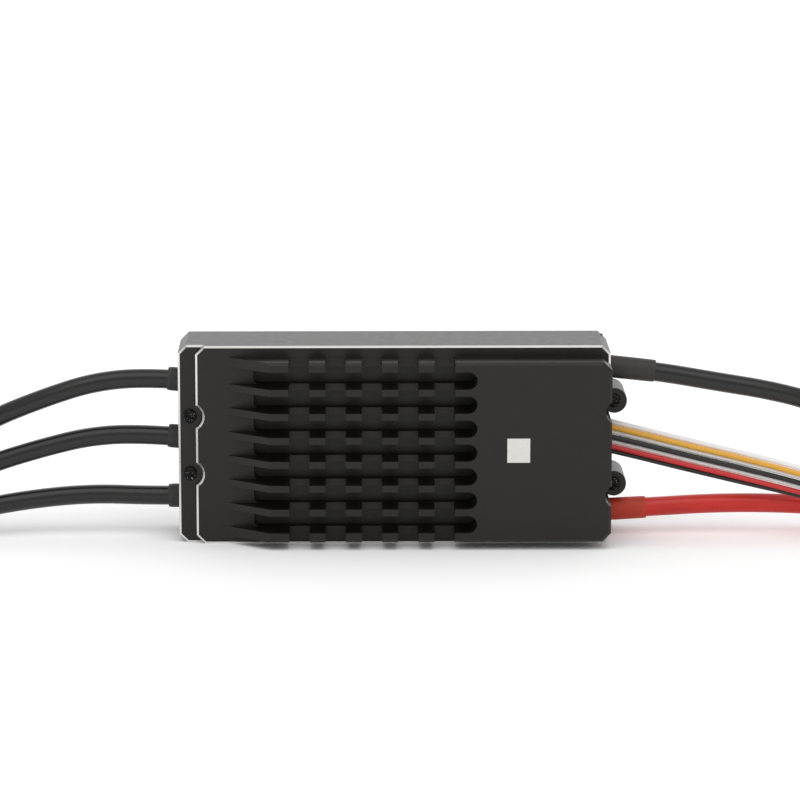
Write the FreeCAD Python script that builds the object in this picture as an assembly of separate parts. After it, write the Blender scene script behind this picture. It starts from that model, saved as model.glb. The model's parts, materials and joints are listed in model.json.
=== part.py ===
import FreeCAD, Part
import math
import os

from FreeCAD import Vector

os.makedirs("parts", exist_ok=True)

# Electronic speed controller, standing on its long side.
# Frame: +X along the case towards the battery leads, +Y from the fins to the back plate, +Z up.
# The origin is the bottom centre of the body's box, without the leads and what is on them.
# All lengths are in millimetres.

# Case outline
case_length = 122.0
case_height = 57.0
base_depth = 24.0
fin_height = 9.2
corner_cut = 2.4
edge_cut = 0.6
lug_radius = 3.6
lug_offset = 1.65
back_plate_thickness = 2.7

# Case walls
left_wall = 7.0
right_wall = 3.0
long_wall = 2.2
floor_thickness = 2.0
channel_depth = 3.5

# Left step that carries two of the screws
step_width = 5.0
step_drop = 1.75
step_screw_inset = 3.3
step_screw_pitch = 16.5
step_notch_radius = 3.6

# Lugs at the battery end
lug_drop = 8.6
lug_high_z = 39.5
lug_low_z = 15.4
lug_groove_radius = 3.4

# Fins
fin_count = 8
fin_thickness = 1.95
fin_edge_cut = 0.75
plateau_bottom = 2.35
plateau_top = 53.8
fin_tip_inset = 14.1
fin_ramp_length = 12.0
channel_start_inset = 21.4
channel_end_inset = 37.8
channel_corner_radius = 1.4
gap_count = 5
gap_width = 5.7
gap_pitch = 10.22
first_gap_inset = 31.4
gap_floor_step = 0.25

# Screws, M2.5 in the case and M2 on the board
screw_radius = 1.25
screw_head_radius = 1.95
screw_head_height = 1.4
recess_length = 2.3
recess_width = 0.55
recess_depth = 0.9
recess_turn = 25.0
board_screw_radius = 1.0
board_screw_head_radius = 1.8

# Boards and what they carry
board_thickness = 2.0
board_gap = 2.0
mosfet_size = (5.2, 6.2, 1.0)
capacitor_radius = 5.0
capacitor_length = 19.0
capacitor_count = 5
control_board_thickness = 1.2
spacer_length = 4.6

# Heavy leads and what is on them
lead_diameter = 5.5
lead_centre_depth = 12.0
lead_middle_z = 28.4
motor_sleeve_radius = 3.4
motor_sleeve_reach = 4.0
battery_sleeve_radius = 3.2
negative_sleeve_reach = 14.2
positive_sleeve_reach = 12.0
sleeve_setback = 0.5
fit_gap = 0.1
plug_pin_radius = 2.75
plug_pin_length = 11.0
plug_cup_radius = 3.2
plug_cup_length = 8.0
plug_sleeve_radius = 3.75
plug_sleeve_overlap = 6.0

# Signal wires and their plugs
wire_diameter = 1.5
wire_pitch = 1.41
wire_stagger = 0.45
contact_pitch = 2.54
housing_height = 2.6
housing_length = 14.0
housing_side = 1.4
contact_size = 1.5
contact_length = 9.0

# Places worked out from the sizes above
body_length = case_length + lug_offset + lug_radius
body_depth = base_depth + fin_height
case_left = -body_length / 2
case_right = case_left + case_length
back_y = body_depth / 2
fin_face_y = -body_depth / 2
base_face_y = fin_face_y + fin_height
step_face_y = base_face_y + step_drop
lug_face_y = base_face_y + lug_drop
case_back_y = back_y - back_plate_thickness
cavity_floor_y = base_face_y + channel_depth + floor_thickness
cavity_left = case_left + left_wall
cavity_right = case_right - right_wall
lead_y = base_face_y + lead_centre_depth
lug_x = case_right + lug_offset
step_x = case_left + step_width
step_screw_x = case_left + step_screw_inset
step_screw_heights = [lead_middle_z + step_screw_pitch / 2, lead_middle_z - step_screw_pitch / 2]
lug_heights = [lug_high_z, lug_low_z]
board_y = cavity_floor_y + board_gap
board_back_y = board_y + board_thickness
control_board_y = board_back_y + spacer_length


def box(x0, x1, y0, y1, z0, z1):
    """Box between two corners."""
    return Part.makeBox(x1 - x0, y1 - y0, z1 - z0, Vector(x0, y0, z0))


def rod_y(x, z, y0, y1, radius):
    """Round rod along Y."""
    return Part.makeCylinder(radius, y1 - y0, Vector(x, y0, z), Vector(0, 1, 0))


def rod(start, direction, length, radius):
    """Round rod from a point along a direction."""
    return Part.makeCylinder(radius, length, start, direction)


def prism_y(points, y0, y1):
    """Prism along Y over an outline of (x, z) points."""
    corners = [Vector(x, y0, z) for x, z in points]
    face = Part.Face(Part.makePolygon(corners + corners[:1]))
    return face.extrude(Vector(0, y1 - y0, 0))


def cut_corners(x0, x1, z0, z1, left, right):
    """Outline of a rectangle whose left and right corners are cut off at 45 degrees."""
    points = []
    if left:
        points += [(x0, z0 + left), (x0 + left, z0)]
    else:
        points += [(x0, z0)]
    if right:
        points += [(x1 - right, z0), (x1, z0 + right), (x1, z1 - right), (x1 - right, z1)]
    else:
        points += [(x1, z0), (x1, z1)]
    if left:
        points += [(x0 + left, z1), (x0, z1 - left)]
    else:
        points += [(x0, z1)]
    return points


def edges_at_y(shape, y, limit_x=None):
    """Edges that lie in the plane at y, and right of limit_x where one is given."""
    found = []
    for edge in shape.Edges:
        bounds = edge.BoundBox
        in_plane = abs(bounds.YMin - y) < 0.001 and abs(bounds.YMax - y) < 0.001
        if in_plane and (limit_x is None or bounds.XMax > limit_x):
            found.append(edge)
    return found


def slot_cutter(x0, x1, y0, y1, z0, z1):
    """Cutter for a channel: small corner radii at the left end, a full round at the right end."""
    round_radius = (z1 - z0) / 2
    small = channel_corner_radius
    cutter = box(x0 + small, x1 - round_radius, y0, y1, z0, z1)
    cutter = cutter.fuse(box(x0, x0 + 2 * small, y0, y1, z0 + small, z1 - small))
    cutter = cutter.fuse(rod_y(x0 + small, z0 + small, y0, y1, small))
    cutter = cutter.fuse(rod_y(x0 + small, z1 - small, y0, y1, small))
    cutter = cutter.fuse(rod_y(x1 - round_radius, (z0 + z1) / 2, y0, y1, round_radius))
    return cutter.removeSplitter()


def fin_bottoms():
    """Height of each fin's lower face, top fin last."""
    low = plateau_bottom + fin_edge_cut
    high = plateau_top - fin_edge_cut - fin_thickness
    pitch = (high - low) / (fin_count - 1)
    return [low + pitch * index for index in range(fin_count)]


def chamfered_block():
    """Outside of the base: the raised face, and the step at the left that lies lower."""
    raised = prism_y(cut_corners(step_x, case_right, 0, case_height, corner_cut, corner_cut),
                     base_face_y, case_back_y)
    for z in step_screw_heights:
        raised = raised.cut(rod_y(step_screw_x, z, base_face_y - 1, step_face_y, step_notch_radius))
    raised = raised.makeChamfer(edge_cut, edges_at_y(raised, base_face_y))
    step = prism_y(cut_corners(case_left, step_x + 4 * corner_cut, 0, case_height, corner_cut, 0),
                   step_face_y, case_back_y)
    step = step.makeChamfer(edge_cut, edges_at_y(step, step_face_y))
    return raised.fuse(step)


def plateau_with_fins():
    """Raised block on the base, cut into ramped fins with gaps across them."""
    x0 = case_left + fin_tip_inset
    root_y = base_face_y + 1
    block = prism_y(cut_corners(x0, case_right, plateau_bottom, plateau_top, 0, corner_cut),
                    fin_face_y, root_y)
    block = block.makeChamfer(fin_edge_cut, edges_at_y(block, fin_face_y, x0 + 1))
    ramp = Part.makePolygon([Vector(x0 - 1, base_face_y, 0), Vector(x0, base_face_y, 0),
                             Vector(x0 + fin_ramp_length, fin_face_y, 0),
                             Vector(x0 + fin_ramp_length, fin_face_y - 1, 0),
                             Vector(x0 - 1, fin_face_y - 1, 0), Vector(x0 - 1, base_face_y, 0)])
    block = block.cut(Part.Face(ramp).extrude(Vector(0, 0, case_height)))
    for index in range(gap_count):
        gap_x = case_left + first_gap_inset + gap_pitch * index
        block = block.cut(box(gap_x, gap_x + gap_width, fin_face_y - 1, base_face_y,
                              plateau_bottom - 1, plateau_top + 1))
    return block


def front_case():
    """Deep shell with the fins on its face, open at the back."""
    case = chamfered_block()
    case = case.fuse(plateau_with_fins())
    bottoms = fin_bottoms()
    for low, high in zip(bottoms[:-1], bottoms[1:]):
        channel_x0 = case_left + channel_start_inset
        channel_x1 = case_right - channel_end_inset
        z0 = low + fin_thickness
        cutter = slot_cutter(channel_x0, channel_x1, fin_face_y - 1,
                             base_face_y + channel_depth, z0, high)
        shallow = box(case_left + fin_tip_inset - 1, channel_x0 + 2 * channel_corner_radius,
                      fin_face_y - 1, base_face_y, z0, high)
        case = case.cut(cutter.fuse(shallow))
    for index in range(gap_count):
        gap_x = case_left + first_gap_inset + gap_pitch * index
        case = case.cut(box(gap_x, gap_x + gap_width, fin_face_y, base_face_y + gap_floor_step,
                            plateau_bottom, plateau_top))
    case = case.cut(box(cavity_left, cavity_right, cavity_floor_y, case_back_y + 1,
                        long_wall, case_height - long_wall))
    for z in lug_heights:
        case = case.fuse(rod_y(lug_x, z, lug_face_y, case_back_y, lug_radius))
        case = case.cut(rod_y(lug_x, z, fin_face_y - 1, lug_face_y, lug_groove_radius))
        case = case.cut(rod_y(lug_x, z, lug_face_y, case_back_y, screw_radius + fit_gap))
    for z in step_screw_heights:
        case = case.cut(rod_y(step_screw_x, z, base_face_y, case_back_y, screw_radius + fit_gap))
    for x, z in board_screw_places():
        case = case.fuse(rod_y(x, z, cavity_floor_y, board_y, board_screw_head_radius + 0.4))
        case = case.cut(rod_y(x, z, board_y - board_screw_reach(), board_y, board_screw_radius))
    for start, direction, radius, reach in lead_exits():
        case = case.cut(rod(start, direction, left_wall + 3, radius + fit_gap))
    case = case.cut(grommet_block())
    return case.removeSplitter()


def board_screw_places():
    """Where the board is screwed to the case."""
    left = cavity_left + 9.0
    right = cavity_right - 6.0
    low = long_wall + 4.0
    high = case_height - long_wall - 4.0
    return [(left, low), (left, high), (right, low + 12.5), (right, high - 12.5)]


def board_screw_reach():
    """How far a board screw goes into the case."""
    return board_gap + 1.5


def back_plate():
    """Flat plate that closes the case, with two ears behind the lugs and a seal groove."""
    plate = prism_y(cut_corners(case_left, case_right, 0, case_height, corner_cut, corner_cut),
                    case_back_y, back_y)
    for z in lug_heights:
        plate = plate.fuse(rod_y(lug_x, z, case_back_y, back_y, lug_radius))
    plate = plate.removeSplitter()
    plate = plate.makeChamfer(edge_cut, edges_at_y(plate, back_y))
    plate = plate.cut(seal_ring())
    for x, z in case_screw_places():
        plate = plate.cut(rod_y(x, z, case_back_y - 1, back_y + 1, screw_radius))
    return plate


def case_screw_places():
    """Axes of the four screws that hold the case together."""
    places = [(step_screw_x, z) for z in step_screw_heights]
    places += [(lug_x, z) for z in lug_heights]
    return places


def seal_ring():
    """Silicone cord between the case and the back plate, in the plate's groove."""
    inset = 1.5
    width = 0.8
    depth = 0.8
    x0 = cavity_left - inset - width / 2
    x1 = cavity_right + inset + width / 2
    z0 = long_wall - inset - width / 2 + 0.3
    z1 = case_height - z0
    outer = box(x0, x1, case_back_y, case_back_y + depth, z0, z1)
    inner = box(x0 + width, x1 - width, case_back_y, case_back_y + depth, z0 + width, z1 - width)
    return outer.cut(inner)


def case_screw(x, z, face_y, tip_y):
    """Button-head screw along Y with a cross recess; the head stands in front of face_y."""
    head_y = face_y - screw_head_height
    head = rod_y(x, z, head_y, face_y, screw_head_radius)
    head = head.makeFillet(0.6 * screw_head_height, edges_at_y(head, head_y))
    screw = head.fuse(rod_y(x, z, face_y, tip_y, screw_radius))
    long = recess_length / 2
    wide = recess_width / 2
    across = box(x - long, x + long, head_y - 1, head_y + recess_depth, z - wide, z + wide)
    upright = box(x - wide, x + wide, head_y - 1, head_y + recess_depth, z - long, z + long)
    recess = across.fuse(upright)
    recess.rotate(Vector(x, 0, z), Vector(0, 1, 0), recess_turn)
    return screw.cut(recess).removeSplitter()


def board_screw(x, z):
    """Pan-head screw that holds the power board on its post."""
    head = rod_y(x, z, board_back_y, board_back_y + 1.3, board_screw_head_radius)
    head = head.makeFillet(0.5, edges_at_y(head, board_back_y + 1.3))
    shank = rod_y(x, z, board_y - board_screw_reach(), board_back_y, board_screw_radius)
    slot = box(x - 1.2, x + 1.2, board_back_y + 0.8, board_back_y + 2, z - 0.2, z + 0.2)
    return head.fuse(shank).cut(slot).removeSplitter()


# Cord routes. Each list is the centre line from inside the case to the plug.
motor_routes = {
    "a": [(-56.0, 4.6, 44.6), (-71.5, 4.6, 45.9), (-87.5, 4.7, 44.7), (-103.0, 5.0, 39.6),
          (-118.5, 6.6, 33.0), (-132.5, 9.4, 24.0), (-144.5, 12.2, 13.2), (-157.5, 14.2, 5.6),
          (-171.0, 14.8, 3.75), (-184.0, 14.9, 3.75)],
    "b": [(-56.0, 4.6, 28.0), (-71.8, 4.6, 29.4), (-88.0, 4.6, 29.1), (-104.0, 4.4, 25.2),
          (-120.0, 4.0, 20.2), (-136.0, 3.5, 12.8), (-153.0, 3.1, 6.6), (-171.0, 2.9, 3.75),
          (-188.0, 2.8, 3.75)],
    "c": [(-56.0, 4.6, 11.5), (-71.8, 4.6, 11.4), (-88.0, 4.5, 12.1), (-104.0, 4.0, 10.9),
          (-120.0, 2.0, 8.6), (-136.0, -1.6, 5.8), (-153.0, -5.2, 4.2), (-171.5, -8.0, 3.75),
          (-189.0, -8.8, 3.75)],
}
battery_routes = {
    "negative": [(54.5, 4.6, 49.3), (71.5, 4.6, 47.4), (89.0, 4.7, 44.3), (105.0, 5.0, 41.6),
                 (119.0, 6.4, 37.6), (131.0, 9.0, 29.4), (141.0, 11.6, 19.4), (151.5, 13.8, 10.4),
                 (163.0, 15.4, 4.7), (174.5, 16.0, 3.75), (185.0, 16.2, 3.75)],
    "positive": [(54.5, 4.6, 6.9), (71.0, 4.6, 7.8), (88.0, 4.7, 8.8), (105.0, 5.0, 8.8),
                 (122.0, 5.5, 7.8), (139.0, 6.1, 5.5), (156.0, 6.6, 4.1), (173.5, 6.8, 3.75),
                 (190.5, 6.7, 3.75)],
}

# The seven signal wires run side by side: a shared centre line, the turn of their row about it
# in degrees (0 is a row that stands up, 90 one that lies flat), and how far the row has opened
# from its pitch in the grommet (0) to the contacts of the plugs (1).
signal_centre = [(46.5, 4.6, 31.4), (62.5, 4.5, 27.7), (79.0, 3.4, 23.7), (95.5, 1.7, 20.0),
                 (111.5, -0.8, 16.5), (126.5, -4.2, 12.4), (140.5, -7.4, 7.4), (153.5, -9.2, 3.0),
                 (166.0, -9.8, 1.3), (178.0, -9.8, 1.3)]
signal_turn = [0, 0, 0, 0, 14, 44, 74, 88, 90, 90]
signal_open = [0, 0, 0, 0, 0.04, 0.25, 0.6, 0.9, 1, 1]
data_wires = 4
control_wires = 3
housing_gap = 1.5


def contact_offsets():
    """Distance of each contact from the middle of the open row, data plug first."""
    data_width = data_wires * contact_pitch + 0.5
    control_width = control_wires * contact_pitch + 0.5
    total = data_width + housing_gap + control_width
    data_middle = total / 2 - data_width / 2
    control_middle = -total / 2 + control_width / 2
    offsets = []
    for middle, count in ((data_middle, data_wires), (control_middle, control_wires)):
        for index in range(count):
            offsets.append(middle + contact_pitch * ((count - 1) / 2 - index))
    return offsets


def signal_route(index):
    """Centre line of one signal wire."""
    count = data_wires + control_wires
    closed = wire_pitch * ((count - 1) / 2 - index)
    opened = contact_offsets()[index]
    behind = wire_stagger if index % 2 == 0 else -wire_stagger
    route = []
    for (x, y, z), turn, spread in zip(signal_centre, signal_turn, signal_open):
        offset = closed + (opened - closed) * spread
        side = behind * (1 - spread)
        angle = math.radians(turn)
        route.append((x, y - offset * math.sin(angle) + side * math.cos(angle),
                      z + offset * math.cos(angle) + side * math.sin(angle)))
    return route


def cord(name, points, diameter):
    """Tube along straight runs joined by tangent arcs, each as large as its runs allow."""
    nodes = [Vector(*point) for point in points]
    edges = []
    radii = []
    start = nodes[0]
    for before, corner, after in zip(nodes[:-2], nodes[1:-1], nodes[2:]):
        back = (before - corner).normalize()
        ahead = (after - corner).normalize()
        turn = math.pi - back.getAngle(ahead)
        reach = 0.45 * min((before - corner).Length, (after - corner).Length)
        radii.append(reach / math.tan(turn / 2))
        arc_start = corner + back * reach
        arc_end = corner + ahead * reach
        bisector = (back + ahead).normalize()
        centre_reach = math.hypot(reach, radii[-1])
        arc_middle = corner + bisector * (centre_reach - radii[-1])
        edges.append(Part.LineSegment(start, arc_start).toShape())
        edges.append(Part.Arc(arc_start, arc_middle, arc_end).toShape())
        start = arc_end
    edges.append(Part.LineSegment(start, nodes[-1]).toShape())
    path = Part.Wire(edges)
    first_run = nodes[1] - nodes[0]
    ring = Part.Wire(Part.makeCircle(diameter / 2, nodes[0], first_run))
    tube = path.makePipeShell([ring], True, False)
    expected = math.pi * diameter ** 2 / 4 * path.Length
    print(f"{name}: length {path.Length:.1f}, smallest radius {min(radii):.1f}, "
          f"volume {tube.Volume / expected:.4f} of section times length")
    return tube


def route_end(points):
    """Last point of a route and the direction in which it leaves."""
    last = Vector(*points[-1])
    return last, (last - Vector(*points[-2])).normalize()


def route_start(points):
    """First point of a route and the direction in which it goes."""
    first = Vector(*points[0])
    return first, (Vector(*points[1]) - first).normalize()


def lead_exits():
    """Start, direction, sleeve radius and sleeve reach of the five heavy leads."""
    exits = []
    for route in motor_routes.values():
        exits.append((*route_start(route), motor_sleeve_radius, motor_sleeve_reach))
    reaches = {"negative": negative_sleeve_reach, "positive": positive_sleeve_reach}
    for name, route in battery_routes.items():
        exits.append((*route_start(route), battery_sleeve_radius, reaches[name]))
    return exits


def exit_sleeve(start, direction, radius, reach, lead):
    """Heat-shrink sleeve on a lead, from just inside the wall to its reach outside."""
    wall = left_wall if direction.x < 0 else right_wall
    length = wall + reach - sleeve_setback
    return rod(start + direction * sleeve_setback, direction, length, radius).cut(lead)


def bullet_plug(points):
    """Round plug: a solder cup that meets the lead's end, a collar, and the contact pin."""
    start, direction = route_end(points)
    cup = rod(start, direction, plug_cup_length, plug_cup_radius)
    pin_start = start + direction * plug_cup_length
    pin = rod(pin_start, direction, plug_pin_length, plug_pin_radius)
    tip = [edge for edge in pin.Edges
           if edge.Closed and (edge.CenterOfMass - pin_start).Length > plug_pin_length / 2]
    pin = pin.makeFillet(1.2, tip)
    return cup.fuse(pin).removeSplitter()


def plug_sleeve(points):
    """Heat-shrink sleeve over the lead's end and the plug's cup."""
    start, direction = route_end(points)
    back = start - direction * plug_sleeve_overlap
    length = plug_sleeve_overlap + plug_cup_length
    sleeve = rod(back, direction, length, plug_sleeve_radius)
    sleeve = sleeve.cut(rod(back, direction, plug_sleeve_overlap, lead_diameter / 2))
    return sleeve.cut(rod(start, direction, plug_cup_length + 1, plug_cup_radius))


def signal_housing(first, count):
    """Plastic plug housing with one cavity for each contact."""
    ends = [signal_route(index)[-1] for index in range(first, first + count)]
    x0 = ends[0][0] - 0.5
    low_y = min(y for _, y, _ in ends) - housing_side
    high_y = max(y for _, y, _ in ends) + housing_side
    body = box(x0, x0 + housing_length, low_y, high_y, 0, housing_height)
    long_edges = [edge for edge in body.Edges
                  if abs(edge.Vertexes[0].X - edge.Vertexes[1].X) > housing_length / 2]
    body = body.makeChamfer(0.3, long_edges)
    half = contact_size / 2 + 0.05
    for _, y, z in ends:
        body = body.cut(box(x0 - 1, x0 + housing_length + 1, y - half, y + half, z - half, z + half))
        body = body.cut(box(x0 + 3, x0 + 7, y - 0.5, y + 0.5, z, housing_height + 1))
    return body


def signal_contacts(first, count):
    """Crimp contacts in one housing: a closed box with a square socket at the plug's mouth."""
    contacts = []
    half = contact_size / 2
    for index in range(first, first + count):
        x, y, z = signal_route(index)[-1]
        contact = box(x, x + contact_length, y - half, y + half, z - half, z + half)
        contact = contact.cut(box(x + 3, x + contact_length + 1, y - 0.35, y + 0.35,
                                  z - 0.35, z + 0.35))
        contacts.append(contact)
    return Part.makeCompound(contacts)


def grommet_block():
    """Outside of the rubber grommet that the signal wires leave through."""
    half_height = wire_pitch * 4.1
    block = box(cavity_right - 0.5, case_right, lead_y - 1.9, lead_y + 1.9,
                lead_middle_z - half_height + 0.4, lead_middle_z + half_height + 0.4)
    upright = [edge for edge in block.Edges
               if abs(edge.Vertexes[0].X - edge.Vertexes[1].X) > right_wall / 2]
    return block.makeFillet(1.5, upright)


def signal_socket(wires):
    """Board connector inside the case that the signal wires end in."""
    x1, _, middle_z = signal_centre[0]
    half_height = wire_pitch * 4.1
    socket = box(x1 - 6.0, x1, board_back_y, board_back_y + 5.0,
                 middle_z - half_height, middle_z + half_height)
    for wire in wires:
        socket = socket.cut(wire)
    return socket


def signal_grommet(wires):
    """Rubber grommet with a hole for each wire."""
    grommet = grommet_block()
    for wire in wires:
        grommet = grommet.cut(wire)
    return grommet


def power_board():
    """Main circuit board, with its screw holes."""
    board = box(cavity_left + 4.5, cavity_right - 1.5, board_y, board_back_y,
                long_wall + 0.8, case_height - long_wall - 0.8)
    for x, z in board_screw_places():
        board = board.cut(rod_y(x, z, board_y - 1, board_back_y + 1, board_screw_radius + fit_gap))
    return board


def mosfets():
    """Power transistors on the fin side of the board, four rows of six."""
    width, height, thick = mosfet_size
    packages = []
    for row in range(4):
        for column in range(6):
            x = cavity_left + 21.0 + 11.0 * column
            z = case_height / 2 + 12.0 * (row - 1.5)
            packages.append(box(x, x + width, board_y - thick, board_y, z - height / 2, z + height / 2))
    return Part.makeCompound(packages)


def thermal_pad():
    """Soft pad that carries the transistors' heat into the finned case."""
    x0 = cavity_left + 18.0
    return box(x0, x0 + 66.0, cavity_floor_y, board_y - mosfet_size[2],
               case_height / 2 - 22.5, case_height / 2 + 22.5)


def bus_capacitors():
    """Electrolytic capacitors that lie behind the board."""
    cans = []
    for index in range(capacitor_count):
        x = cavity_left + 30.0 + 11.0 * index
        start = Vector(x, board_back_y + capacitor_radius + 0.6, case_height - long_wall - 1.5)
        can = Part.makeCylinder(capacitor_radius, capacitor_length, start, Vector(0, 0, -1))
        bead_z = start.z - 3.0
        bead = Part.makeTorus(capacitor_radius, 0.5, Vector(x, start.y, bead_z), Vector(0, 0, 1))
        cans.append(can.cut(bead))
    return Part.makeCompound(cans)


def control_board():
    """Small board that carries the controller."""
    return box(cavity_left + 26.0, cavity_left + 86.0, control_board_y,
               control_board_y + control_board_thickness, long_wall + 3.0, long_wall + 29.0)


def spacer_places():
    """Corners of the control board that stand on spacers."""
    return [(cavity_left + 26.0 + dx, long_wall + 3.0 + dz) for dx in (3.0, 57.0) for dz in (3.0, 23.0)]


def board_spacers():
    """Round spacers between the two boards."""
    return Part.makeCompound([rod_y(x, z, board_back_y, control_board_y, 2.0)
                              for x, z in spacer_places()])


def board_header():
    """Pin header that joins the two boards."""
    x = cavity_left + 56.0
    return box(x - 13.0, x + 13.0, board_back_y, control_board_y, long_wall + 13.5, long_wall + 16.0)


def chips(places, width, height, thick):
    """Chips on the back of the control board."""
    face_y = control_board_y + control_board_thickness
    return Part.makeCompound([box(x - width / 2, x + width / 2, face_y, face_y + thick,
                                  z - height / 2, z + height / 2) for x, z in places])


def microcontroller():
    """Controller chip."""
    return chips([(cavity_left + 70.0, long_wall + 16.0)], 7.0, 7.0, 1.0)


def gate_drivers():
    """Three driver chips, one for each phase."""
    return chips([(cavity_left + 35.0 + 9.0 * index, long_wall + 16.0) for index in range(3)],
                 5.0, 5.0, 0.9)


def shunt_resistors():
    """Current-sensing resistors on the back of the power board."""
    x = cavity_right - 24.0
    return Part.makeCompound([box(x, x + 6.4, board_back_y, board_back_y + 0.8, z, z + 3.2)
                              for z in (long_wall + 12.0, long_wall + 17.0)])


def phase_bar(z, lead):
    """Copper block on the power board that one motor lead is soldered to."""
    x0 = motor_routes["a"][0][0]
    return box(x0, x0 + 12.0, board_back_y, board_back_y + 4.5, z - 3.0, z + 3.0).cut(lead)


def battery_bar(z, lead):
    """Copper block on the power board that one battery lead is soldered to."""
    x1 = battery_routes["negative"][0][0]
    return box(x1 - 14.0, x1, board_back_y, board_back_y + 4.5, z - 3.0, z + 3.0).cut(lead)


def build():
    """All sub-parts by node name."""
    nodes = {
        "front_case": front_case(),
        "back_plate": back_plate(),
        "case_seal": seal_ring(),
        "step_screws": Part.makeCompound([case_screw(step_screw_x, z, step_face_y, back_y - 0.4)
                                          for z in step_screw_heights]),
        "lug_screws": Part.makeCompound([case_screw(lug_x, z, lug_face_y, back_y - 0.4)
                                         for z in lug_heights]),
        "power_board": power_board(),
        "mosfets": mosfets(),
        "thermal_pad": thermal_pad(),
        "board_screws": Part.makeCompound([board_screw(x, z) for x, z in board_screw_places()]),
        "bus_capacitors": bus_capacitors(),
        "control_board": control_board(),
        "board_spacers": board_spacers(),
        "board_header": board_header(),
        "microcontroller": microcontroller(),
        "gate_drivers": gate_drivers(),
        "shunt_resistors": shunt_resistors(),
    }
    routes = {f"motor_{name}": route for name, route in motor_routes.items()}
    routes.update({f"battery_{name}": route for name, route in battery_routes.items()})
    for (full_name, route), lead_exit in zip(routes.items(), lead_exits()):
        family, name = full_name.split("_")
        lead = cord(f"{family}_lead_{name}", route, lead_diameter)
        nodes[f"{family}_lead_{name}"] = lead
        nodes[f"{family}_sleeve_{name}"] = exit_sleeve(*lead_exit, lead)
        nodes[f"{family}_plug_{name}"] = bullet_plug(route)
        nodes[f"{family}_plug_sleeve_{name}"] = plug_sleeve(route)
        if family == "motor":
            nodes[f"phase_bar_{name}"] = phase_bar(route[0][2], lead)
        else:
            nodes[f"{name}_bus_bar"] = battery_bar(route[0][2], lead)
    wires = []
    for index in range(data_wires + control_wires):
        wire = cord(f"signal_wire_{index + 1}", signal_route(index), wire_diameter)
        nodes[f"signal_wire_{index + 1}"] = wire
        wires.append(wire)
    nodes["signal_socket"] = signal_socket(wires)
    nodes["signal_grommet"] = signal_grommet(wires)
    nodes["data_plug"] = signal_housing(0, data_wires)
    nodes["data_contacts"] = signal_contacts(0, data_wires)
    nodes["control_plug"] = signal_housing(data_wires, control_wires)
    nodes["control_contacts"] = signal_contacts(data_wires, control_wires)
    return nodes


for node_name, node_shape in build().items():
    node_shape.exportStep(f"parts/{node_name}.step")
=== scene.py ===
import json
import math

import bpy
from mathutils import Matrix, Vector


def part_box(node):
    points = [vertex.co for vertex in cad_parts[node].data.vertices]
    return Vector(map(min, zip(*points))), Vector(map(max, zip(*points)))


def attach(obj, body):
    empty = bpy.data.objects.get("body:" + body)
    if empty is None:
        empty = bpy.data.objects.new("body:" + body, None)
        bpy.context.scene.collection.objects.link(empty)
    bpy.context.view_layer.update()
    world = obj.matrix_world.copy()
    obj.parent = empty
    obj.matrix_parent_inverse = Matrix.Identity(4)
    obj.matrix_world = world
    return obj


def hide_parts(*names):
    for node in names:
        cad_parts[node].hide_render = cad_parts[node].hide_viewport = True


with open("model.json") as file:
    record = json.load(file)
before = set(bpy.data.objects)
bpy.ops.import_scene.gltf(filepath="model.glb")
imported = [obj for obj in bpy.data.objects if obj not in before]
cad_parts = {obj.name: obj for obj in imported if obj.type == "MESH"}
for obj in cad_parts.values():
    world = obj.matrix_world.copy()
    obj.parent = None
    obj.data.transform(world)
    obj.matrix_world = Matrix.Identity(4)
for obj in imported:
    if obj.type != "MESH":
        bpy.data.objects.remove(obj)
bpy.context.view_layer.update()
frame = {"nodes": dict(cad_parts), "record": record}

NODES = frame["nodes"]
SLOT_OF = {part["node"]: part["material_slot"] for part in frame["record"]["subparts"]}
MM = 0.001

# Case: its box from the frame, and the faces and walls that the looks refer to
CASE_LOW, CASE_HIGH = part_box("front_case")
FIN_HEIGHT = 9.2 * MM
STEP_DROP = 1.75 * MM
BASE_FACE_Y = CASE_LOW.y + FIN_HEIGHT
STEP_FACE_Y = BASE_FACE_Y + STEP_DROP
LEFT_WALL = 7.0 * MM
RIGHT_WALL = 3.0 * MM

# Bright-cut edges, pale square and seam on the case
EDGE_CUT = 0.6 * MM
EDGE_MARGIN = 0.02 * MM
EDGE_ROUND = 0.12 * MM
SQUARE_X = (29.0 * MM, 35.4 * MM)
SQUARE_Z = (25.3 * MM, 32.2 * MM)
SQUARE_DEPTH = 0.05 * MM
SEAM_FRONT = 0.07 * MM
SEAM_BACK = 0.05 * MM

# Leads, wires, sleeves and bullet plugs
LEAD_DIAMETER = 5.5 * MM
LEAD_RADIUS = LEAD_DIAMETER / 2
WIRE_DIAMETER = 1.5 * MM
SLEEVE_SETBACK = 0.5 * MM
SLEEVE_GRIP = 0.32 * MM
COVER_SKIN = 0.45 * MM
COVER_OVERLAP = 6.0 * MM
CUP_LENGTH = 8.0 * MM
CUP_RADIUS = 3.2 * MM
PIN_LENGTH = 11.0 * MM
PIN_RADIUS = 2.75 * MM
PIN_LEAVES = 8
PIN_ROWS = 26

# Light: what the surroundings give to the object, and what the camera sees of them
FLOOR_LIT = 0.80
FLOOR_SEEN = 1.15
WORLD_LIT = 0.75
WORLD_SEEN = 1.0


# ---------------------------------------------------------------- camera

def make_camera():
    """Long lens, a little above the object and almost square to its finned face."""
    data = bpy.data.cameras.new("camera")
    data.lens = 180.0
    data.sensor_width = 36.0
    data.clip_end = 20.0
    camera = bpy.data.objects.new("camera", data)
    camera.location = (-12.92 * MM, -1112.9 * MM, 262.6 * MM)
    camera.rotation_euler = (math.radians(90.0 - 11.31), 0.0, math.radians(-0.618))
    bpy.context.scene.collection.objects.link(camera)
    bpy.context.scene.camera = camera


# ---------------------------------------------------------------- cords

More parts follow.
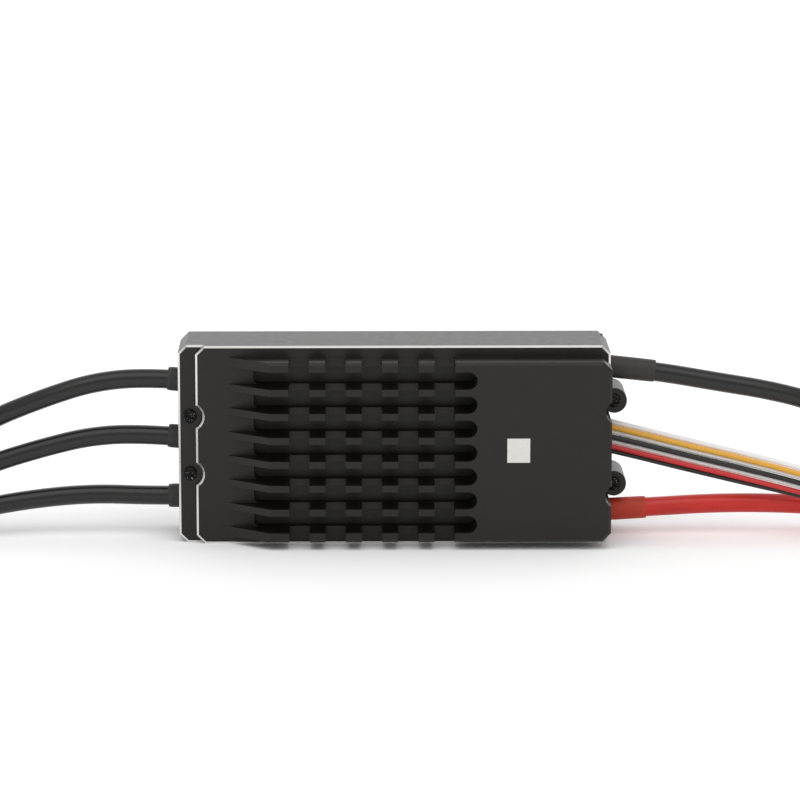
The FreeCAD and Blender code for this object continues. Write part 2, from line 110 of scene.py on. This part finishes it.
# Centre lines in millimetres, from inside the case to the plug
LEAD_ROUTES = {
    "motor_a": [(-56.0, 4.6, 44.6), (-71.5, 4.6, 45.9), (-87.5, 4.7, 44.7), (-103.0, 5.0, 39.6),
                (-118.5, 6.6, 33.0), (-132.5, 9.4, 24.0), (-144.5, 12.2, 13.2), (-157.5, 14.2, 5.6),
                (-171.0, 14.8, 3.75), (-184.0, 14.9, 3.75)],
    "motor_b": [(-56.0, 4.6, 28.0), (-71.8, 4.6, 29.4), (-88.0, 4.6, 29.1), (-104.0, 4.4, 25.2),
                (-120.0, 4.0, 20.2), (-136.0, 3.5, 12.8), (-153.0, 3.1, 6.6), (-171.0, 2.9, 3.75),
                (-188.0, 2.8, 3.75)],
    "motor_c": [(-56.0, 4.6, 11.5), (-71.8, 4.6, 11.4), (-88.0, 4.5, 12.1), (-104.0, 4.0, 10.9),
                (-120.0, 2.0, 8.6), (-136.0, -1.6, 5.8), (-153.0, -5.2, 4.2), (-171.5, -8.0, 3.75),
                (-189.0, -8.8, 3.75)],
    "battery_negative": [(54.5, 4.6, 49.3), (71.5, 4.6, 47.4), (89.0, 4.7, 44.3), (105.0, 5.0, 41.6),
                         (119.0, 6.4, 37.6), (131.0, 9.0, 29.4), (141.0, 11.6, 19.4),
                         (151.5, 13.8, 10.4), (163.0, 15.4, 4.7), (174.5, 16.0, 3.75),
                         (185.0, 16.2, 3.75)],
    "battery_positive": [(54.5, 4.6, 6.9), (71.0, 4.6, 7.8), (88.0, 4.7, 8.8), (105.0, 5.0, 8.8),
                         (122.0, 5.5, 7.8), (139.0, 6.1, 5.5), (156.0, 6.6, 4.1), (173.5, 6.8, 3.75),
                         (190.5, 6.7, 3.75)],
}
EXIT_SLEEVE_RADIUS = {"motor": 3.4 * MM, "battery": 3.2 * MM}
SLEEVE_REACH = {"motor_a": 4.0 * MM, "motor_b": 4.0 * MM, "motor_c": 4.0 * MM,
                "battery_negative": 14.2 * MM, "battery_positive": 12.0 * MM}

# The signal wires' shared centre line, the turn of their row about it in degrees, and how far
# the row has opened from its pitch in the grommet (0) to that of the plugs' contacts (1)
SIGNAL_CENTRE = [(46.5, 4.6, 31.4), (62.5, 4.5, 27.7), (79.0, 3.4, 23.7), (95.5, 1.7, 20.0),
                 (111.5, -0.8, 16.5), (126.5, -4.2, 12.4), (140.5, -7.4, 7.4), (153.5, -9.2, 3.0),
                 (166.0, -9.8, 1.3), (178.0, -9.8, 1.3)]
SIGNAL_TURN = [0, 0, 0, 0, 14, 44, 74, 88, 90, 90]
SIGNAL_OPEN = [0, 0, 0, 0, 0.04, 0.25, 0.6, 0.9, 1, 1]
SIGNAL_PITCH = 1.41
SIGNAL_STAGGER = 0.45
CONTACT_PITCH = 2.54
HOUSING_MARGIN = 0.5
HOUSING_GAP = 1.5
DATA_WIRES = 4
CONTROL_WIRES = 3
ALL_WIRES = DATA_WIRES + CONTROL_WIRES


def contact_offsets():
    """Distance of each contact from the middle of the open row, data plug first."""
    data_width = DATA_WIRES * CONTACT_PITCH + HOUSING_MARGIN
    control_width = CONTROL_WIRES * CONTACT_PITCH + HOUSING_MARGIN
    total = data_width + HOUSING_GAP + control_width
    offsets = []
    for middle, count in ((total / 2 - data_width / 2, DATA_WIRES),
                          (control_width / 2 - total / 2, CONTROL_WIRES)):
        for index in range(count):
            offsets.append(middle + CONTACT_PITCH * ((count - 1) / 2 - index))
    return offsets


def signal_route(index):
    """Centre line of one signal wire, in millimetres."""
    closed = SIGNAL_PITCH * ((ALL_WIRES - 1) / 2 - index)
    opened = contact_offsets()[index]
    behind = SIGNAL_STAGGER if index % 2 == 0 else -SIGNAL_STAGGER
    route = []
    for (x, y, z), turn, spread in zip(SIGNAL_CENTRE, SIGNAL_TURN, SIGNAL_OPEN):
        offset = closed + (opened - closed) * spread
        side = behind * (1 - spread)
        angle = math.radians(turn)
        route.append((x, y - offset * math.sin(angle) + side * math.cos(angle),
                      z + offset * math.cos(angle) + side * math.sin(angle)))
    return route


def cord_curve(name, route, diameter):
    """Round cord on one smooth NURBS line through the route's control points."""
    data = bpy.data.curves.new(name, "CURVE")
    data.dimensions = "3D"
    spline = data.splines.new("NURBS")
    spline.points.add(len(route) - 1)
    for point, place in zip(spline.points, route):
        point.co = (*(value * MM for value in place), 1.0)
    spline.order_u = 3
    spline.use_endpoint_u = True
    data.resolution_u = 14
    data.bevel_depth = diameter / 2
    data.bevel_resolution = 8
    data.use_fill_caps = True
    cord = bpy.data.objects.new(name, data)
    bpy.context.scene.collection.objects.link(cord)
    return cord


# ---------------------------------------------------------------- meshes

def lathe(name, start, direction, profile, around=64, shape=None):
    """Closed mesh turned about an axis. The profile lists (distance, radius) along the axis.

    Where a shape is given, it scales the radius at each distance and angle.
    """
    axis = direction.normalized()
    side = axis.cross(Vector((0, 0, 1))).normalized()
    up = side.cross(axis).normalized()
    vertices = []
    for distance, radius in profile:
        for step in range(around):
            angle = math.tau * step / around
            reach = radius if shape is None else radius * shape(distance, angle)
            vertices.append(start + axis * distance
                            + (side * math.cos(angle) + up * math.sin(angle)) * reach)
    faces = []
    for ring in range(len(profile) - 1):
        for step in range(around):
            a = ring * around + step
            b = ring * around + (step + 1) % around
            faces.append((a, b, b + around, a + around))
    faces.append(tuple(reversed(range(around))))
    faces.append(tuple(range((len(profile) - 1) * around, len(profile) * around)))
    mesh = bpy.data.meshes.new(name)
    mesh.from_pydata(vertices, [], faces)
    mesh.validate()
    mesh.shade_smooth()
    mesh.set_sharp_from_angle(angle=math.radians(38))
    piece = bpy.data.objects.new(name, mesh)
    bpy.context.scene.collection.objects.link(piece)
    return piece


def exit_sleeve(name, route, family, reach):
    """Shrunk sleeve that comes out of the case with the lead and hugs it at its end."""
    first, second = (Vector(point) * MM for point in route[:2])
    direction = (second - first).normalized()
    wall = LEFT_WALL if direction.x < 0 else RIGHT_WALL
    start = first + direction * SLEEVE_SETBACK
    length = wall + reach - SLEEVE_SETBACK
    outer = EXIT_SLEEVE_RADIUS[family]
    hug = LEAD_RADIUS + SLEEVE_GRIP
    profile = [(0.0, outer), (length * 0.55, outer), (length - 1.2 * MM, outer - 0.02 * MM),
               (length - 0.5 * MM, outer - 0.08 * MM), (length - 0.15 * MM, (outer + hug) / 2),
               (length, hug), (length, LEAD_RADIUS)]
    return lathe(name, start, direction, profile)


def plug_axis(route):
    """End of a route and the direction in which it leaves, in metres."""
    last, before = Vector(route[-1]) * MM, Vector(route[-2]) * MM
    return last, (last - before).normalized()


def plug_sleeve(name, route):
    """Shrunk sleeve over the joint of a lead and its bullet plug, stepped where the cup begins."""
    end, direction = plug_axis(route)
    start = end - direction * COVER_OVERLAP
    on_lead = LEAD_RADIUS + COVER_SKIN
    on_cup = CUP_RADIUS + COVER_SKIN
    step = COVER_OVERLAP
    length = step + CUP_LENGTH
    profile = [(0.0, LEAD_RADIUS), (0.0, LEAD_RADIUS + 0.3 * MM), (0.35 * MM, on_lead),
               (step - 2.2 * MM, on_lead + 0.02 * MM), (step - 1.0 * MM, on_lead + 0.15 * MM),
               (step + 0.3 * MM, on_cup - 0.08 * MM), (step + 1.4 * MM, on_cup),
               (length - 0.5 * MM, on_cup), (length - 0.15 * MM, on_cup - 0.12 * MM),
               (length, CUP_RADIUS + 0.1 * MM), (length, CUP_RADIUS)]
    return lathe(name, start, direction, profile)


def bullet_plug(name, route):
    """Bullet plug: solder cup, collar, and a contact cage of sprung leaves with a round nose."""
    end, direction = plug_axis(route)
    cage_start = CUP_LENGTH + 1.6 * MM
    cage_end = CUP_LENGTH + PIN_LENGTH - 2.2 * MM
    cage_length = cage_end - cage_start

    def leaf(distance, angle):
        """Bow of the cage along its length, with a slot between each leaf and the next."""
        if not cage_start < distance < cage_end:
            return 1.0
        share = (distance - cage_start) / cage_length
        bow = 0.90 + 0.10 * math.sin(math.pi * share)
        slot = abs((angle * PIN_LEAVES / math.tau) % 1.0 - 0.5) > 0.44
        return bow * (0.86 if slot and 0.06 < share < 0.94 else 1.0)

    cup = [(0.0, CUP_RADIUS - 0.3 * MM), (0.2 * MM, CUP_RADIUS),
           (CUP_LENGTH - 0.2 * MM, CUP_RADIUS), (CUP_LENGTH, CUP_RADIUS - 0.15 * MM)]
    collar = [(CUP_LENGTH, 2.5 * MM), (CUP_LENGTH + 0.5 * MM, 2.5 * MM),
              (CUP_LENGTH + 0.6 * MM, 2.7 * MM), (CUP_LENGTH + 1.4 * MM, 2.7 * MM),
              (cage_start, 2.5 * MM)]
    cage = [(cage_start + cage_length * (0.001 + 0.998 * row / PIN_ROWS), PIN_RADIUS)
            for row in range(PIN_ROWS + 1)]
    ring = [(cage_end, 2.5 * MM), (cage_end + 0.3 * MM, 2.6 * MM)]
    nose = []
    for turn in range(0, 81, 10):
        angle = math.radians(turn)
        nose.append((cage_end + (1.0 + 1.2 * math.sin(angle)) * MM,
                     (1.4 + 1.2 * math.cos(angle)) * MM))
    return lathe(name, end, direction, cup + collar + cage + ring + nose, 96, leaf)


# ---------------------------------------------------------------- materials

class Shader:
    """Material under construction: a node tree that ends in one Principled shader."""

    def __init__(self, name, **values):
        self.material = bpy.data.materials.new(name)
        self.material.use_nodes = True
        self.tree = self.material.node_tree
        self.tree.nodes.clear()
        self.surface = self.add("ShaderNodeBsdfPrincipled", **values)
        output = self.add("ShaderNodeOutputMaterial")
        self.tree.links.new(self.surface.outputs[0], output.inputs["Surface"])
        self.place = self.add("ShaderNodeTexCoord").outputs["Object"]

    def add(self, kind, settings=None, **values):
        """New node. Settings are its own properties; values go to sockets, or link to them."""
        node = self.tree.nodes.new(kind)
        for key, value in (settings or {}).items():
            setattr(node, key, value)
        for key, value in values.items():
            self.put(node, key.replace("_", " "), value)
        return node

    def put(self, node, socket, value):
        """Sets an input by name or number, or links an output to it."""
        socket = node.inputs[int(socket)] if socket.isdigit() else node.inputs[socket]
        if isinstance(value, bpy.types.NodeSocket):
            self.tree.links.new(value, socket)
        else:
            socket.default_value = value

    def math(self, operation, first, second=0.0, third=0.0):
        """Output of a Math node."""
        node = self.tree.nodes.new("ShaderNodeMath")
        node.operation = operation
        for number, value in enumerate((first, second, third)):
            self.put(node, str(number), value)
        return node.outputs[0]

    def noise(self, scale, detail=3.0, roughness=0.55, place=None):
        """Noise from 0 to 1 at so many features in a metre."""
        node = self.add("ShaderNodeTexNoise", Vector=place or self.place, Scale=scale,
                        Detail=detail, Roughness=roughness)
        return node.outputs["Fac"]

    def spread(self, value, low, high):
        """Value from 0 to 1 laid out between low and high."""
        node = self.add("ShaderNodeMapRange", {"clamp": True}, Value=value)
        node.inputs["From Min"].default_value = 0.25
        node.inputs["From Max"].default_value = 0.75
        node.inputs["To Min"].default_value = low
        node.inputs["To Max"].default_value = high
        return node.outputs["Result"]

    def mix(self, factor, first, second):
        """Colour between first and second."""
        node = self.tree.nodes.new("ShaderNodeMix")
        node.data_type = "RGBA"
        self.put(node, "0", factor)
        for number, value in ((6, first), (7, second)):
            if not isinstance(value, bpy.types.NodeSocket):
                value = (*value[:3], 1.0)
            self.put(node, str(number), value)
        return node.outputs[2]

    def inside(self, value, low, high):
        """1 where value lies between low and high, else 0."""
        above = self.math("GREATER_THAN", value, low)
        return self.math("MULTIPLY", above, self.math("LESS_THAN", value, high))

    def axes(self, vector):
        """The three parts of a vector."""
        return self.add("ShaderNodeSeparateXYZ", Vector=vector).outputs

    def tint(self, colour, depth, scale):
        """Colour that wanders a little lighter and darker."""
        dark = tuple(part * (1 - depth) for part in colour)
        pale = tuple(min(1.0, part * (1 + depth)) for part in colour)
        return self.mix(self.spread(self.noise(scale), 0.0, 1.0), dark, pale)

    def relief(self, height, distance, strength=1.0, normal=None):
        """Bump from a height between 0 and 1."""
        node = self.add("ShaderNodeBump", Height=height, Distance=distance, Strength=strength)
        if normal is not None:
            self.put(node, "Normal", normal)
        return node.outputs["Normal"]

    def set(self, socket, value):
        """Sets or links an input of the surface."""
        self.put(self.surface, socket, value)


def case_material():
    """Black anodised, bead-blasted aluminium with bright-cut edges, painted darker where they face
    up as painted shade, and one pale printed square.
    """
    shader = Shader("case_black")
    x, y, z = shader.axes(shader.place)
    normal = shader.add("ShaderNodeTexCoord").outputs["Normal"]
    _, normal_y, normal_z = shader.axes(normal)
    facing = shader.math("ABSOLUTE", normal_y)
    slanted = shader.inside(facing, 0.6, 0.78)
    rims = [shader.inside(y, face_y + EDGE_MARGIN, face_y + EDGE_CUT - EDGE_MARGIN)
            for face_y in (BASE_FACE_Y, STEP_FACE_Y)]
    bright = shader.math("MULTIPLY", slanted, shader.math("MAXIMUM", *rims))
    on_face = shader.math("LESS_THAN", y, CASE_LOW.y + SQUARE_DEPTH)
    square = shader.math("MULTIPLY", shader.inside(x, *SQUARE_X), shader.inside(z, *SQUARE_Z))
    square = shader.math("MULTIPLY", square, on_face)
    seam = shader.inside(y, CASE_HIGH.y - SEAM_FRONT, CASE_HIGH.y + SEAM_BACK)
    anodised = shader.tint((0.0085, 0.0058, 0.0036), 0.12, 180.0)
    # Painted shade: the bright-cut metal is given a darker colour on upward-facing edges, to dim
    # their reflection of the light above.
    top_painted_shade = shader.inside(normal_z, 0.5, 1.0)
    polish_with_painted_shade = shader.mix(top_painted_shade, (0.86, 0.85, 0.83), (0.53, 0.52, 0.50))
    colour = shader.mix(bright, anodised, polish_with_painted_shade)
    ink = shader.tint((0.84, 0.83, 0.79), 0.05, 900.0)
    colour = shader.mix(square, colour, ink)
    shader.set("Base Color", shader.mix(seam, colour, (0.004, 0.004, 0.004)))
    shader.set("Metallic", bright)
    shader.set("Specular IOR Level", 0.38)
    grain = shader.noise(2600.0, 4.0, 0.6)
    rough = shader.spread(shader.noise(420.0), 0.36, 0.42)
    shader.set("Roughness", shader.math("MULTIPLY_ADD", bright, -0.1, rough))
    soft_edge = shader.add("ShaderNodeBevel", {"samples": 6}, Radius=EDGE_ROUND).outputs[0]
    shader.set("Normal", shader.relief(grain, 0.012 * MM, 0.6, soft_edge))
    return shader.material


def screw_material():
    """Black-oxide steel, worn through to bright metal in small spots."""
    shader = Shader("screw_black", Roughness=0.22)
    oxide = shader.tint((0.004, 0.004, 0.004), 0.25, 900.0)
    worn = shader.math("GREATER_THAN", shader.noise(1700.0), 0.64)
    shader.set("Base Color", shader.mix(worn, oxide, (0.42, 0.41, 0.39)))
    shader.set("Metallic", worn)
    shader.set("Specular IOR Level", 0.16)
    shader.set("Normal", shader.relief(shader.noise(2200.0), 0.06 * MM, 0.8))
    return shader.material


def rubber_material(name, colour, roughness=0.46):
    """Silicone insulation: smooth, with faint long waves and dust-fine grain."""
    shader = Shader(name)
    shader.set("Base Color", shader.tint(colour, 0.10, 160.0))
    shader.set("Roughness", shader.spread(shader.noise(500.0), roughness - 0.05, roughness + 0.05))
    waves = shader.noise(110.0, 2.0)
    grain = shader.noise(2400.0, 3.0)
    height = shader.math("MULTIPLY_ADD", grain, 0.12, waves)
    shader.set("Normal", shader.relief(height, 0.10 * MM, 0.7))
    return shader.material


def shrink_material(name, colour):
    """Heat-shrink tubing: matte, drawn slightly uneven over what it covers."""
    shader = Shader(name)
    shader.set("Base Color", shader.tint(colour, 0.12, 260.0))
    shader.set("Roughness", shader.spread(shader.noise(700.0), 0.50, 0.62))
    stretched = shader.add("ShaderNodeMapping", Vector=shader.place, Scale=(0.45, 1.0, 1.0))
    draw = shader.noise(420.0, 3.0, place=stretched.outputs[0])
    shader.set("Normal", shader.relief(draw, 0.14 * MM, 0.8))
    return shader.material


def wire_material(name, colour):
    """Thin extruded insulation, a little glossy."""
    shader = Shader(name)
    shader.set("Base Color", shader.tint(colour, 0.05, 300.0))
    shader.set("Roughness", shader.spread(shader.noise(900.0), 0.34, 0.42))
    shader.set("Normal", shader.relief(shader.noise(700.0, 2.0), 0.03 * MM, 0.6))
    return shader.material


def metal_material(name, colour, roughness, grain=1600.0):
    """Plated or plain metal with fine grain."""
    shader = Shader(name, Metallic=1.0)
    shader.set("Base Color", shader.tint(colour, 0.08, 500.0))
    shader.set("Roughness", shader.spread(shader.noise(grain), roughness - 0.05, roughness + 0.07))
    shader.set("Normal", shader.relief(shader.noise(grain * 2), 0.006 * MM, 0.5))
    return shader.material


def plastic_material(name, colour, roughness=0.45):
    """Moulded plastic with a fine spark-eroded texture."""
    shader = Shader(name)
    shader.set("Base Color", shader.tint(colour, 0.08, 400.0))
    shader.set("Roughness", shader.spread(shader.noise(800.0), roughness - 0.05, roughness + 0.05))
    shader.set("Normal", shader.relief(shader.noise(3000.0, 4.0), 0.012 * MM, 0.6))
    return shader.material


def board_material():
    """Solder mask over tracks: green with slightly raised, paler copper paths."""
    shader = Shader("board_green", Roughness=0.32)
    cells = shader.add("ShaderNodeTexVoronoi",
                       {"feature": "DISTANCE_TO_EDGE", "distance": "MANHATTAN"},
                       Vector=shader.place, Scale=260.0)
    track = shader.math("LESS_THAN", cells.outputs["Distance"], 0.12)
    shader.set("Base Color", shader.mix(track, (0.010, 0.085, 0.035), (0.035, 0.17, 0.07)))
    shader.set("Normal", shader.relief(track, 0.03 * MM, 0.6))
    return shader.material


MATERIALS = {
    "case_black": case_material,
    "screw_black": screw_material,
    "screw_steel": lambda: metal_material("screw_steel", (0.55, 0.54, 0.52), 0.3),
    "seal_rubber": lambda: rubber_material("seal_rubber", (0.02, 0.02, 0.02), 0.6),
    "pad_grey": lambda: rubber_material("pad_grey", (0.30, 0.32, 0.35), 0.7),
    "board_green": board_material,
    "chip_black": lambda: plastic_material("chip_black", (0.02, 0.02, 0.02), 0.5),
    "capacitor_sleeve": lambda: plastic_material("capacitor_sleeve", (0.03, 0.035, 0.06), 0.3),
    "spacer_brass": lambda: metal_material("spacer_brass", (0.75, 0.56, 0.25), 0.3),
    "shunt_metal": lambda: metal_material("shunt_metal", (0.42, 0.38, 0.34), 0.35),
    "copper": lambda: metal_material("copper", (0.80, 0.40, 0.24), 0.28),
    "socket_white": lambda: plastic_material("socket_white", (0.68, 0.66, 0.60), 0.4),
    "plug_black": lambda: plastic_material("plug_black", (0.022, 0.022, 0.022), 0.45),
    "contact_gold": lambda: metal_material("contact_gold", (0.83, 0.60, 0.24), 0.22, 900.0),
    "lead_black": lambda: rubber_material("lead_black", (0.005, 0.0045, 0.004), 0.26),
    "lead_red": lambda: rubber_material("lead_red", (0.62, 0.016, 0.008), 0.36),
    "sleeve_black": lambda: shrink_material("sleeve_black", (0.030, 0.026, 0.023)),
    "sleeve_red": lambda: shrink_material("sleeve_red", (0.56, 0.040, 0.016)),
    "wire_white": lambda: wire_material("wire_white", (0.93, 0.92, 0.90)),
    "wire_yellow": lambda: wire_material("wire_yellow", (0.85, 0.43, 0.045)),
    "wire_red": lambda: wire_material("wire_red", (0.66, 0.030, 0.030)),
    "wire_black": lambda: wire_material("wire_black", (0.014, 0.013, 0.012)),
}
made_materials = {slot: make() for slot, make in MATERIALS.items()}


def finish_piece(piece, slot):
    """Puts a new piece on the body and gives it its slot's material."""
    piece.data.materials.clear()
    piece.data.materials.append(made_materials[slot])
    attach(piece, "root")


# ---------------------------------------------------------------- leads and wires

def add_lead(full_name, route):
    """One heavy lead with its exit sleeve, its bullet plug and the sleeve over the plug."""
    family, name = full_name.split("_")
    colour = "red" if name == "positive" else "black"
    lead = cord_curve(f"{full_name}_cord", route, LEAD_DIAMETER)
    sleeve = exit_sleeve(f"{full_name}_exit_sleeve", route, family, SLEEVE_REACH[full_name])
    plug = bullet_plug(f"{full_name}_bullet", route)
    cover = plug_sleeve(f"{full_name}_plug_cover", route)
    finish_piece(lead, f"lead_{colour}")
    finish_piece(sleeve, f"sleeve_{colour}")
    finish_piece(plug, "contact_gold")
    finish_piece(cover, f"sleeve_{colour}")
    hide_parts(f"{family}_lead_{name}")
    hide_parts(f"{family}_sleeve_{name}")
    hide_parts(f"{family}_plug_{name}")
    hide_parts(f"{family}_plug_sleeve_{name}")


def add_signal_wires():
    """Seven thin wires that leave through the grommet and part into two plugs."""
    for index in range(ALL_WIRES):
        node = f"signal_wire_{index + 1}"
        route = signal_route(index)
        wire = cord_curve(f"{node}_cord", route, WIRE_DIAMETER)
        finish_piece(wire, SLOT_OF[node])
        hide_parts(node)


# ---------------------------------------------------------------- floor and light

def seen_ray(tree):
    """1 for a ray from the camera or off a glossy or clear surface, else 0."""
    path = tree.nodes.new("ShaderNodeLightPath")
    total = path.outputs["Is Camera Ray"]
    for kind in ("Is Glossy Ray", "Is Transmission Ray"):
        largest = tree.nodes.new("ShaderNodeMath")
        largest.operation = "MAXIMUM"
        tree.links.new(total, largest.inputs[0])
        tree.links.new(path.outputs[kind], largest.inputs[1])
        total = largest.outputs[0]
    return total


def floor_material():
    """White floor, a little brighter where it is seen than where it lights the object."""
    material = bpy.data.materials.new("floor_white")
    material.use_nodes = True
    tree = material.node_tree
    tree.nodes.clear()
    level = tree.nodes.new("ShaderNodeMapRange")
    level.inputs["To Min"].default_value = FLOOR_LIT
    level.inputs["To Max"].default_value = FLOOR_SEEN
    diffuse = tree.nodes.new("ShaderNodeBsdfDiffuse")
    output = tree.nodes.new("ShaderNodeOutputMaterial")
    tree.links.new(seen_ray(tree), level.inputs["Value"])
    tree.links.new(level.outputs["Result"], diffuse.inputs["Color"])
    tree.links.new(diffuse.outputs[0], output.inputs["Surface"])
    return material


def make_floor():
    """Wide white floor under the object."""
    half = 4.0
    mesh = bpy.data.meshes.new("floor")
    mesh.from_pydata([(-half, -half, 0), (half, -half, 0), (half, half, 0), (-half, half, 0)],
                     [], [(0, 1, 2, 3)])
    floor = bpy.data.objects.new("floor", mesh)
    bpy.context.scene.collection.objects.link(floor)
    mesh.materials.append(floor_material())


def make_world():
    """White surroundings: full white for the camera, a plain level for light and reflections."""
    world = bpy.data.worlds.new("studio")
    world.use_nodes = True
    tree = world.node_tree
    tree.nodes.clear()
    level = tree.nodes.new("ShaderNodeMapRange")
    level.inputs["To Min"].default_value = WORLD_LIT
    level.inputs["To Max"].default_value = WORLD_SEEN
    path = tree.nodes.new("ShaderNodeLightPath")
    background = tree.nodes.new("ShaderNodeBackground")
    background.inputs["Color"].default_value = (1.0, 1.0, 1.0, 1.0)
    output = tree.nodes.new("ShaderNodeOutputWorld")
    tree.links.new(path.outputs["Is Camera Ray"], level.inputs["Value"])
    tree.links.new(level.outputs["Result"], background.inputs["Strength"])
    tree.links.new(background.outputs[0], output.inputs["Surface"])
    bpy.context.scene.world = world


def add_softbox(name, place, target, size, power):
    """Rectangular area light that points at a target."""
    data = bpy.data.lights.new(name, "AREA")
    data.shape = "RECTANGLE"
    data.size, data.size_y = size
    data.energy = power
    light = bpy.data.objects.new(name, data)
    light.location = place
    aim = Vector(target) - Vector(place)
    light.rotation_euler = aim.to_track_quat("-Z", "Y").to_euler()
    bpy.context.scene.collection.objects.link(light)


make_camera()
for lead_name, lead_route in LEAD_ROUTES.items():
    add_lead(lead_name, lead_route)
add_signal_wires()
for node_name, node in NODES.items():
    node.data.materials.clear()
    node.data.materials.append(made_materials[SLOT_OF[node_name]])
make_floor()
make_world()
add_softbox("overhead", (0.0, -0.60, 1.10), (0.0, 0.0, 0.03), (1.4, 1.0), 4.4)
add_softbox("backdrop", (0.0, 2.10, 0.75), (0.0, 0.0, 0.10), (3.6, 1.5), 11.4)
bpy.context.scene.view_settings.view_transform = "Standard"
